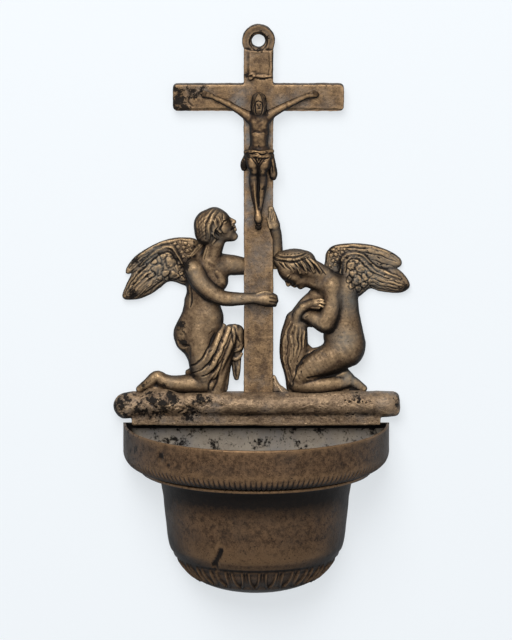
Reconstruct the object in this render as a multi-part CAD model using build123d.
from build123d import *

import os
from math import cos, pi, sin

# A wall-hung holy water stoup: a cast crucifix between two kneeling angels, above a half-round basin.
# +X is right, +Z is up and the front looks towards -Y. The wall is the plane Y = 0, and the origin is where
# the axis of the hanging eye meets it. Lengths are millimetres, and depths are measured out from the wall.

# Cross
EYE_RADIUS = 5.75
EYE_BORE_RADIUS = 2.4
EYE_MOUTH_RADIUS = 2.9
EYE_MOUTH_DEPTH = 0.8
CROSS_DEPTH = 4.0
POST_WIDTH = 10.3
FRONT_BEVEL = 0.6
BEAM_LENGTH = 60.2
BEAM_HEIGHT = 9.5
BEAM_CORNER = 1.6
BEAM_Z = -20.2
ARMPIT_RADIUS = 4.2
FOOT_IN_GROUND = 6.6
SCROLL_WIDTH = 8.2
SCROLL_TOP_Z = -3.2
SCROLL_BOTTOM_Z = -12.9
SCROLL_CORNER = 1.0
SCROLL_RELIEF = 0.5
SCROLL_ROLL_RADIUS = 0.65

# Ground that the figures kneel on, with the tongue that hangs below it over the back of the basin
GROUND_Z = -126.1
GROUND_HEIGHT = 8.8
GROUND_DEPTH = 9.6
GROUND_LENGTH = 101.5
GROUND_FRONT_ROUND = 3.6
GROUND_END_BEVEL = 2.0
TONGUE_DEPTH = 7.0
TONGUE_DROP = 2.5
TONGUE_CORNER = 1.4
TONGUE_SIDE_GAP = 1.9
LEAF_HEIGHT = 6.0
LEAF_SPREAD = 5.4
LEAF_DEPTH = 2.4
LEAF_BEND = 1.8

# Basin, from the rim down
BASIN_X = -0.8
BASIN_WALL = 1.1
RIM_RADIUS = 47.0
RIM_DROP = 2.8
BAND_HEIGHT = 10.0
OVOLO_HEIGHT = 5.6
OVOLO_STEP_IN = 6.6
FILLET_HEIGHT = 1.0
CUP_NECK_RADIUS = 34.6
CUP_WAIST_RADIUS = 32.2
CUP_WAIST_DROP = 14.0
CUP_TURN_RADIUS = 31.2
CUP_TURN_DROP = 24.0
CUP_LINE_RADIUS = 28.3
CUP_LINE_DROP = 31.2
CUP_LOW_RADIUS = 20.4
CUP_LOW_DROP = 39.4
CUP_BASE_RADIUS = 8.0
CUP_HEIGHT = 43.0
OVOLO_STEPS = 4
SIDE_STEPS = 2
BELLY_STEPS = 4

# Plate that closes the basin at the wall
PLATE_THICKNESS = 1.0
PLATE_RISE = 7.4
PLATE_EAR_REACH = 7.0
PLATE_GAP = 0.15

# Fastenings
SCREW_RADIUS = 1.5
SCREW_HEAD_RADIUS = 2.8
SCREW_HEAD_HEIGHT = 1.3
SCREW_LENGTH = 7.5
SCREW_SLOT_WIDTH = 0.7
SCREW_SLOT_DEPTH = 0.6
SCREW_SPACING = 62.0
SCREW_BELOW_GROUND = 6.2
FOOT_SCREW_BELOW_GROUND = 3.9
DOWEL_RADIUS = 1.2
DOWEL_IN_GROUND = 3.6
DOWEL_IN_FIGURE = 3.4
DOWEL_DEPTH = 4.0
DOWEL_PLACES = (-29.0, -20.0, 17.0, 27.0)
NAIL_WIDTH = 0.9
NAIL_HEAD_WIDTH = 1.7
NAIL_HEAD_HEIGHT = 0.6
NAIL_HEAD_TAPER = 35
NAIL_HEAD_SUNK = 0.3
NAIL_BITE = 2.4

# Notch behind the post for the left angel's far arm, as heights above the ground
NOTCH_LOW = 44.0
NOTCH_HIGH = 51.0
NOTCH_DEPTH = 2.2
ARM_PAST_POST = 1.6

# Worked out from the sizes above
POST_HALF = POST_WIDTH / 2
FAR = 300.0
GROUND_BOTTOM_Z = GROUND_Z - GROUND_HEIGHT
RIM_Z = GROUND_BOTTOM_Z - RIM_DROP
BAND_Z = RIM_Z - BAND_HEIGHT
FILLET_Z = BAND_Z - OVOLO_HEIGHT
FILLET_RADIUS = RIM_RADIUS - OVOLO_STEP_IN
NECK_Z = FILLET_Z - FILLET_HEIGHT
BASE_Z = NECK_Z - CUP_HEIGHT
TONGUE_HALF = RIM_RADIUS - BASIN_WALL - TONGUE_SIDE_GAP
PLATE_TOP_Z = RIM_Z + PLATE_RISE
PLATE_EAR_HALF = SCREW_SPACING / 2 + PLATE_EAR_REACH
SCREW_PLACES = [
    (BASIN_X - SCREW_SPACING / 2, GROUND_Z - SCREW_BELOW_GROUND),
    (BASIN_X + SCREW_SPACING / 2, GROUND_Z - SCREW_BELOW_GROUND),
    (0.0, GROUND_Z - FOOT_SCREW_BELOW_GROUND),
]

# The figures are tapered limbs through stations of x, height, depth and radius.
# The corpus is measured from the middle of the beam and from the front of the cross, and the angels
# from the ground and from the wall.
LIMB_SIDES = 8
DOME_RINGS = ((0.55, 0.84), (0.9, 0.44))
TOUCH = 0.01

LEFT_WRIST = (-16.8, 0.8, 0.7, 1.0)
RIGHT_WRIST = (17.0, 0.6, 0.7, 1.0)
LEFT_HAND = (-19.0, 1.6, 0.6, 1.1)
RIGHT_HAND = (20.0, 1.9, 0.6, 1.1)
CROSSED_FEET = (0.0, -43.6, 1.3, 1.5)
CORPUS_LIMBS = [
    # head with its hair and beard
    [(0.1, -0.6, 2.0, 2.9), (0.2, -4.8, 3.0, 2.0)],
    [(-2.3, -0.8, 1.6, 1.5), (-2.7, -4.6, 1.8, 1.2)],
    [(2.5, -0.8, 1.6, 1.5), (2.9, -4.6, 1.8, 1.2)],
    # arms
    [(-3.6, -5.8, 1.2, 2.0), (-7.6, -4.4, 1.1, 1.6), (-12.0, -2.0, 1.0, 1.4), LEFT_WRIST, LEFT_HAND],
    [(3.4, -6.1, 1.2, 2.0), (7.6, -4.6, 1.1, 1.6), (12.0, -2.0, 1.0, 1.4), RIGHT_WRIST, RIGHT_HAND],
    # trunk and loincloth
    [(0.0, -7.8, 0.9, 3.7), (-0.1, -12.6, 0.9, 3.4), (-0.1, -16.4, 0.7, 3.0), (-0.2, -20.6, 0.9, 3.6)],
    [(-0.3, -20.4, 1.0, 3.8), (-0.4, -24.8, 1.2, 3.5)],
    [(-4.6, -21.2, 0.9, 1.6), (-5.2, -25.6, 0.7, 1.1)],
    [(4.4, -21.2, 0.9, 1.7), (5.4, -28.8, 0.7, 1.1)],
    # legs and crossed feet
    [(-1.6, -25.5, 1.3, 2.1), (-1.4, -34.0, 2.2, 1.8), (-0.6, -42.0, 1.2, 1.3)],
    [(1.3, -25.5, 1.3, 2.1), (1.1, -34.0, 2.5, 1.8), (0.4, -42.4, 1.4, 1.2)],
    [CROSSED_FEET, (0.0, -46.6, 0.9, 1.6)],
]

LEFT_ANGEL_LIMBS = [
    # head, hair and neck
    [(-17.6, 60.2, 5.2, 6.0), (-12.8, 59.0, 5.2, 4.6)],
    [(-13.0, 58.0, 5.2, 3.9), (-10.2, 56.4, 5.0, 2.3)],
    [(-19.2, 58.4, 4.8, 4.8), (-19.8, 53.0, 4.2, 3.2)],
    [(-19.8, 52.6, 4.0, 2.8), (-23.4, 50.4, 3.6, 1.5)],
    [(-15.6, 54.0, 4.6, 3.1), (-17.4, 46.0, 4.0, 4.0)],
    # trunk, hip and thigh
    [(-18.6, 43.0, 3.4, 6.5), (-19.8, 33.6, 3.2, 6.0), (-20.4, 26.6, 3.0, 7.8), (-21.0, 19.6, 3.0, 7.3)],
    [(-23.2, 21.2, 2.4, 7.0), (-20.7, 12.6, 3.4, 5.6)],
    [(-14.2, 46.0, 3.0, 4.4), (-14.6, 41.2, 3.0, 4.2)],
    # near arm over the post
    [(-23.0, 43.6, 5.8, 4.3), (-16.4, 35.6, 7.0, 3.2)],
    [(-16.4, 35.4, 7.0, 3.2), (-10.6, 34.2, 6.9, 2.5), (-1.0, 34.6, 6.0, 2.0)],
    [(0.6, 34.6, 5.8, 2.2), (4.8, 33.8, 4.8, 2.6)],
    # far arm, which passes behind the post and comes up on its other side
    [(-12.6, 46.2, 2.6, 3.9), (-5.2, 46.6, 2.0, 3.4)],
    [(6.4, 49.6, 2.4, 2.5), (6.3, 55.6, 3.6, 2.4), (4.9, 61.6, 4.9, 1.9), (4.2, 65.4, 4.9, 1.5)],
    # lower leg and foot
    [(-16.4, 3.2, 4.4, 3.4), (-23.0, 3.2, 4.4, 3.3), (-30.4, 3.0, 3.9, 2.8), (-34.0, 4.6, 3.4, 2.4)],
    [(-35.2, 5.6, 3.3, 2.6), (-40.6, 1.6, 3.0, 1.9)],
    # drapery: the sash under the thigh, the far knee and the hanging end
    [(-12.0, 13.6, 3.8, 2.8), (-17.0, 8.6, 4.8, 2.6), (-23.6, 7.0, 4.2, 1.9)],
    [(-8.4, 22.6, 2.4, 2.5), (-11.4, 12.0, 3.2, 2.8), (-14.4, 2.0, 3.5, 3.0)],
    [(-6.9, 22.0, 2.0, 2.1), (-7.7, 13.6, 2.0, 2.2), (-7.9, 5.4, 1.7, 1.3)],
]
RIGHT_ANGEL_LIMBS = [
    # head, hair and neck
    [(9.6, 46.4, 4.0, 5.0), (13.4, 46.4, 4.6, 6.2), (17.6, 46.2, 4.2, 4.8)],
    [(12.6, 43.4, 4.8, 4.6), (14.2, 40.6, 4.4, 3.2)],
    [(16.6, 44.0, 4.2, 4.4), (24.0, 41.2, 4.0, 4.9)],
    # trunk
    [(29.6, 37.4, 3.2, 5.6), (30.8, 28.6, 3.0, 5.5), (31.2, 17.6, 3.2, 7.4)],
    [(20.6, 36.4, 3.0, 3.6), (26.0, 34.6, 3.2, 5.4)],
    # near arm
    [(27.2, 38.4, 5.6, 4.5), (27.0, 32.4, 6.4, 3.9), (25.0, 25.8, 6.4, 3.2)],
    [(25.0, 25.6, 6.2, 3.2), (18.2, 27.4, 5.2, 2.6)],
    # far arm and hand
    [(19.6, 35.6, 3.0, 3.2), (14.8, 31.6, 3.0, 3.4), (12.8, 26.6, 3.0, 3.1)],
    [(13.8, 26.0, 4.0, 2.7), (15.6, 30.4, 4.6, 2.4)],
    [(15.6, 30.6, 4.6, 2.5), (19.2, 32.2, 5.8, 2.0), (22.2, 32.4, 7.4, 2.1)],
    # thigh, lower leg and foot
    [(30.8, 15.6, 3.6, 7.2), (22.0, 10.2, 4.3, 5.4), (14.8, 5.4, 4.2, 3.6)],
    [(14.4, 3.0, 4.2, 3.2), (22.0, 3.2, 4.2, 3.4), (30.4, 3.2, 3.6, 2.9)],
    [(31.6, 5.2, 3.1, 2.3), (37.0, 1.8, 3.0, 1.7)],
    # drapery that hangs from the arms
    [(11.4, 25.4, 3.0, 2.9), (10.0, 17.0, 3.0, 2.8), (10.1, 10.4, 3.0, 2.7), (12.6, 2.2, 3.2, 2.6)],
    [(14.4, 24.6, 3.0, 2.7), (14.6, 17.0, 3.2, 2.9), (13.8, 9.0, 3.4, 3.1)],
]
LEFT_NEAR_WING = [
    [(-25.0, 43.5), (-28.6, 50.6), (-32.2, 52.7), (-38.4, 49.4), (-44.0, 43.4), (-48.0, 34.4)],
    [(-48.0, 34.4), (-45.0, 33.4), (-39.6, 34.6), (-34.6, 38.0), (-27.0, 38.6)],
]
LEFT_FAR_WING = [
    [(-18.0, 52.0), (-24.0, 55.8), (-32.0, 54.8), (-40.0, 51.6), (-45.6, 47.4), (-46.6, 43.2)],
    [(-46.6, 43.2), (-38.0, 43.4), (-24.0, 44.4)],
]

RIGHT_NEAR_WING = [
    [(28.6, 41.0), (29.6, 48.2), (34.2, 50.3), (40.0, 48.4), (48.0, 44.6), (53.4, 39.0)],
    [(53.4, 39.0), (52.0, 36.6), (48.0, 35.8), (39.0, 37.0), (34.0, 34.6)],
]
RIGHT_FAR_WING = [
    [(21.6, 44.0), (24.2, 51.8), (31.0, 53.6), (40.0, 53.2), (46.4, 51.4), (50.4, 47.2)],
    [(50.4, 47.2), (47.0, 44.0), (30.0, 42.6)],
]
NEAR_WING_DEPTH = 3.4
FAR_WING_DEPTH = 1.8


def between(low, high, face):
    """A face drawn in X and Z, as a solid between two depths."""
    return extrude(Plane.XZ.offset(low) * face, amount=high - low)


def block(x0, x1, z0, z1, low, high):
    """A rectangular block from its sides, its bottom and top, and its two depths."""
    return between(low, high, Pos((x0 + x1) / 2, (z0 + z1) / 2) * Rectangle(x1 - x0, z1 - z0))


def along_depth(x, z, start, length, radius, far_radius):
    """A round pin or cone that points out from the wall."""
    seat = Plane(origin=(x, -start, z), z_dir=(0, -1, 0))
    if radius == far_radius:
        return Part(Solid.make_cylinder(radius, length, seat).wrapped)
    return Part(Solid.make_cone(radius, far_radius, length, seat).wrapped)


def ring(place, axis, radius):
    """The corners of one flat-sided section of a limb."""
    seat = Plane(origin=place, z_dir=axis)
    turns = [2 * pi * side / LIMB_SIDES for side in range(LIMB_SIDES)]
    return [seat.from_local_coords((radius * cos(turn), radius * sin(turn), 0)) for turn in turns]


def dome_ring(place, radius, outward, reach, share):
    """The place and radius of one section of a limb's domed end."""
    return place + outward * (radius * reach), radius * share


def limb(stations, base_z, base_depth):
    """A tapered limb with flat facets between its stations, domed at both ends."""
    places = [(Vector(x, -base_depth - depth, base_z + up), radius) for x, up, depth, radius in stations]
    axis = (places[-1][0] - places[0][0]).normalized()
    head = [dome_ring(*places[0], -axis, reach, share) for reach, share in reversed(DOME_RINGS)]
    tail = [dome_ring(*places[-1], axis, reach, share) for reach, share in DOME_RINGS]
    rings = [ring(place, axis, radius) for place, radius in head + places + tail]
    outlines = [rings[0], rings[-1]]
    for low, high in zip(rings, rings[1:]):
        for side in range(LIMB_SIDES):
            after = (side + 1) % LIMB_SIDES
            outlines.append([low[side], low[after], high[after], high[side]])
    return Solid(Shell([Face(Wire.make_polygon(corners)) for corners in outlines]))


def figure(limbs, base_z, base_depth):
    """The limbs of one figure fused, and cut off flat at the wall."""
    whole = limb(limbs[0], base_z, base_depth)
    for stations in limbs[1:]:
        whole = whole + limb(stations, base_z, base_depth)
    behind_wall = Box(FAR, FAR, FAR, align=(Align.CENTER, Align.MIN, Align.CENTER))
    return whole - Pos(0, 0, base_z) * behind_wall


def wing(outline, depth):
    """A flat-backed wing between its leading edge and its trailing edge."""
    lead, trail = [[(x, GROUND_Z + height) for x, height in edge] for edge in outline]
    return between(0, depth, make_face([Spline(*lead), Spline(*trail), Line(trail[-1], lead[0])]))


def arc_points(start, middle, end, count):
    """Points along an arc, for surfaces that are turned as short straight steps."""
    arc = ThreePointArc(start, middle, end)
    return [tuple(arc @ (step / count))[:2] for step in range(count + 1)]


def cup_outline():
    """The basin's outer half section from the rim down: a band, an ovolo and its fillet, and the cup."""
    ovolo = TangentArc((RIM_RADIUS, BAND_Z), (FILLET_RADIUS, FILLET_Z), tangent=(0, -1))
    turn = (CUP_TURN_RADIUS, NECK_Z - CUP_TURN_DROP)
    line = (CUP_LINE_RADIUS, NECK_Z - CUP_LINE_DROP)
    low = (CUP_LOW_RADIUS, NECK_Z - CUP_LOW_DROP)
    waist = (CUP_WAIST_RADIUS, NECK_Z - CUP_WAIST_DROP)
    side = arc_points((CUP_NECK_RADIUS, NECK_Z), waist, turn, SIDE_STEPS)
    belly = arc_points(turn, line, low, BELLY_STEPS)
    return [
        (RIM_RADIUS, RIM_Z),
        *[tuple(ovolo @ (step / OVOLO_STEPS))[:2] for step in range(OVOLO_STEPS + 1)],
        (FILLET_RADIUS, NECK_Z),
        *side,
        *belly[1:],
        (CUP_BASE_RADIUS, BASE_Z),
    ]


def half_section(outline):
    """A half section between the basin's axis and an outline that runs from the rim down."""
    return make_face(Polyline((0, RIM_Z), *outline, (0, outline[-1][1]), close=True))


def cup_hollow():
    """The half section of the hollow, a wall's thickness inside the outer one."""
    wall = BASIN_WALL
    return [
        (RIM_RADIUS - wall, RIM_Z),
        (RIM_RADIUS - wall, BAND_Z),
        (FILLET_RADIUS - wall, FILLET_Z + wall),
        (CUP_NECK_RADIUS - wall, FILLET_Z + wall),
        (CUP_TURN_RADIUS - wall, NECK_Z - CUP_TURN_DROP),
        (CUP_LINE_RADIUS - wall, NECK_Z - CUP_LINE_DROP + wall / 2),
        (CUP_LOW_RADIUS - wall / 2, NECK_Z - CUP_LOW_DROP + wall),
        (CUP_BASE_RADIUS, BASE_Z + wall),
    ]


def half_round(face):
    """A half section turned through half a circle in front of the basin's plate."""
    centre = (BASIN_X, -PLATE_THICKNESS, 0)
    seat = Plane(origin=centre, x_dir=(1, 0, 0), z_dir=(0, -1, 0))
    return revolve(seat * face, axis=Axis(centre, (0, 0, -1)), revolution_arc=180)


def make_basin():
    return half_round(half_section(cup_outline())) - half_round(half_section(cup_hollow()))


def make_plate(gap):
    """The plate, or with a gap the space that it takes up in the terrace."""
    half = half_section(cup_outline())
    ears = Pos(0, (RIM_Z + PLATE_TOP_Z) / 2) * Rectangle(2 * (PLATE_EAR_HALF + gap), PLATE_RISE + 2 * gap)
    face = Pos(BASIN_X, 0) * (half + mirror(half, about=Plane.YZ) + ears)
    return between(0, PLATE_THICKNESS + gap, face)


def screw_body(x, z):
    """A countersunk screw before its slot is cut, which is also the hole that it fills."""
    head = along_depth(x, z, 0, SCREW_HEAD_HEIGHT, SCREW_HEAD_RADIUS, SCREW_RADIUS)
    return head + along_depth(x, z, 0, SCREW_LENGTH, SCREW_RADIUS, SCREW_RADIUS)


def screw_slot(x, z):
    half = SCREW_SLOT_WIDTH / 2
    return block(x - SCREW_HEAD_RADIUS, x + SCREW_HEAD_RADIUS, z - half, z + half, 0, SCREW_SLOT_DEPTH)


def make_dowels():
    length = DOWEL_IN_GROUND + DOWEL_IN_FIGURE
    return [
        Pos(x, -DOWEL_DEPTH, GROUND_Z - DOWEL_IN_GROUND)
        * Cylinder(DOWEL_RADIUS, length, align=(Align.CENTER, Align.CENTER, Align.MIN))
        for x in DOWEL_PLACES
    ]


def make_nails():
    """A square nail through each hand and one through the feet, with a pyramid head."""
    nails = []
    for x, height, depth, radius in (LEFT_HAND, RIGHT_HAND, CROSSED_FEET):
        top = CROSS_DEPTH + depth + radius
        place = Pos(x, BEAM_Z + height)
        shank = between(CROSS_DEPTH - NAIL_BITE, top, place * Rectangle(NAIL_WIDTH, NAIL_WIDTH))
        base = Plane.XZ.offset(top - NAIL_HEAD_SUNK) * (place * Rectangle(NAIL_HEAD_WIDTH, NAIL_HEAD_WIDTH))
        nails.append(shank + extrude(base, amount=NAIL_HEAD_HEIGHT, taper=NAIL_HEAD_TAPER))
    return nails


def make_arm_strap():
    """The flat of the left angel's far arm, where it passes behind the post."""
    return block(
        -POST_HALF - ARM_PAST_POST, POST_HALF + ARM_PAST_POST, GROUND_Z + NOTCH_LOW, GROUND_Z + NOTCH_HIGH,
        0, NOTCH_DEPTH,
    )


def make_cross():
    foot_z = GROUND_Z - FOOT_IN_GROUND
    post = Pos(0, foot_z / 2) * Rectangle(POST_WIDTH, -foot_z)
    outline = post + Pos(0, BEAM_Z) * RectangleRounded(BEAM_LENGTH, BEAM_HEIGHT, BEAM_CORNER)
    beam_bottom = BEAM_Z - BEAM_HEIGHT / 2
    armpits = [
        v for v in outline.vertices()
        if abs(abs(v.X) - POST_HALF) < TOUCH and abs(v.Y - beam_bottom) < TOUCH
    ]
    outline = fillet(armpits, ARMPIT_RADIUS) + Circle(EYE_RADIUS)
    body = between(0, CROSS_DEPTH, outline)
    body = chamfer(body.faces().sort_by(Axis.Y)[0].edges(), FRONT_BEVEL)
    scroll_face = RectangleRounded(SCROLL_WIDTH, SCROLL_TOP_Z - SCROLL_BOTTOM_Z, SCROLL_CORNER)
    scroll_face = Pos(0, (SCROLL_TOP_Z + SCROLL_BOTTOM_Z) / 2) * scroll_face
    scroll = between(CROSS_DEPTH / 2, CROSS_DEPTH + SCROLL_RELIEF, scroll_face)
    roll = (
        Pos(0, -CROSS_DEPTH - SCROLL_RELIEF / 2, SCROLL_BOTTOM_Z)
        * Rot(0, 90, 0)
        * Cylinder(SCROLL_ROLL_RADIUS, SCROLL_WIDTH)
    )
    bore = along_depth(0, 0, 0, CROSS_DEPTH, EYE_BORE_RADIUS, EYE_BORE_RADIUS)
    mouth_floor = CROSS_DEPTH - EYE_MOUTH_DEPTH
    mouth = along_depth(0, 0, mouth_floor, EYE_MOUTH_DEPTH, EYE_BORE_RADIUS, EYE_MOUTH_RADIUS)
    return body + scroll + roll - bore - mouth - make_arm_strap()


def make_terrace():
    section = Pos(-GROUND_DEPTH / 2, GROUND_Z - GROUND_HEIGHT / 2) * Rectangle(GROUND_DEPTH, GROUND_HEIGHT)
    section = fillet(section.vertices().group_by(Axis.X)[0], GROUND_FRONT_ROUND)
    seat = Plane(origin=(BASIN_X - GROUND_LENGTH / 2, 0, 0), x_dir=(0, 1, 0), z_dir=(1, 0, 0))
    log = extrude(seat * section, amount=GROUND_LENGTH)
    ends = log.faces().sort_by(Axis.X)
    rims = [edge for face in (ends[0], ends[-1]) for edge in face.edges() if edge.center().Y < -TOUCH]
    log = chamfer(rims, GROUND_END_BEVEL)
    tongue_top = GROUND_BOTTOM_Z + GROUND_FRONT_ROUND
    tongue_bottom = GROUND_BOTTOM_Z - TONGUE_DROP
    tongue_face = Rectangle(2 * TONGUE_HALF, tongue_top - tongue_bottom)
    tongue_face = chamfer(tongue_face.vertices().group_by(Axis.Y)[0], TONGUE_CORNER)
    tongue_face = Pos(BASIN_X, (tongue_top + tongue_bottom) / 2) * tongue_face
    tongue = between(PLATE_THICKNESS, TONGUE_DEPTH, tongue_face)
    root = (POST_HALF, GROUND_Z - GROUND_FRONT_ROUND)
    tip = (POST_HALF, GROUND_Z + LEAF_HEIGHT)
    spread = (POST_HALF + LEAF_SPREAD, GROUND_Z - GROUND_FRONT_ROUND)
    bend = (POST_HALF + LEAF_BEND, GROUND_Z + LEAF_HEIGHT / 2)
    leaf = between(0, LEAF_DEPTH, make_face([Line(root, tip), Spline(tip, bend, spread), Line(spread, root)]))
    return log + tongue + leaf


cross = make_cross()
terrace = make_terrace()
basin = make_basin()
plate = make_plate(0)
dowels = make_dowels()
nails = make_nails()
screw_bodies = [screw_body(x, z) for x, z in SCREW_PLACES]
screws = [body - screw_slot(x, z) for body, (x, z) in zip(screw_bodies, SCREW_PLACES)]

corpus = figure(CORPUS_LIMBS, BEAM_Z, CROSS_DEPTH) - cross
left_angel = figure(LEFT_ANGEL_LIMBS, GROUND_Z, 0) + make_arm_strap()
left_angel = left_angel + wing(LEFT_FAR_WING, FAR_WING_DEPTH) + wing(LEFT_NEAR_WING, NEAR_WING_DEPTH)
left_angel = left_angel - cross - terrace
right_angel = figure(RIGHT_ANGEL_LIMBS, GROUND_Z, 0)
right_angel = right_angel + wing(RIGHT_FAR_WING, FAR_WING_DEPTH) + wing(RIGHT_NEAR_WING, NEAR_WING_DEPTH)
right_angel = right_angel - cross - terrace - left_angel
terrace = terrace - cross - make_plate(PLATE_GAP)
plate = plate - cross

for nail in nails:
    corpus = corpus - nail
    cross = cross - nail
for body in screw_bodies:
    terrace = terrace - body
    plate = plate - body
    cross = cross - body
for dowel in dowels:
    terrace = terrace - dowel
    left_angel = left_angel - dowel
    right_angel = right_angel - dowel

nodes = {
    "cross": cross,
    "corpus": corpus,
    "corpus_nails": Compound(children=nails),
    "left_angel": left_angel,
    "right_angel": right_angel,
    "angel_dowels": Compound(children=dowels),
    "terrace": terrace,
    "basin": basin,
    "basin_back": plate,
    "back_screws": Compound(children=screws),
}

os.makedirs("parts", exist_ok=True)
for name, shape in nodes.items():
    export_step(shape, f"parts/{name}.step")
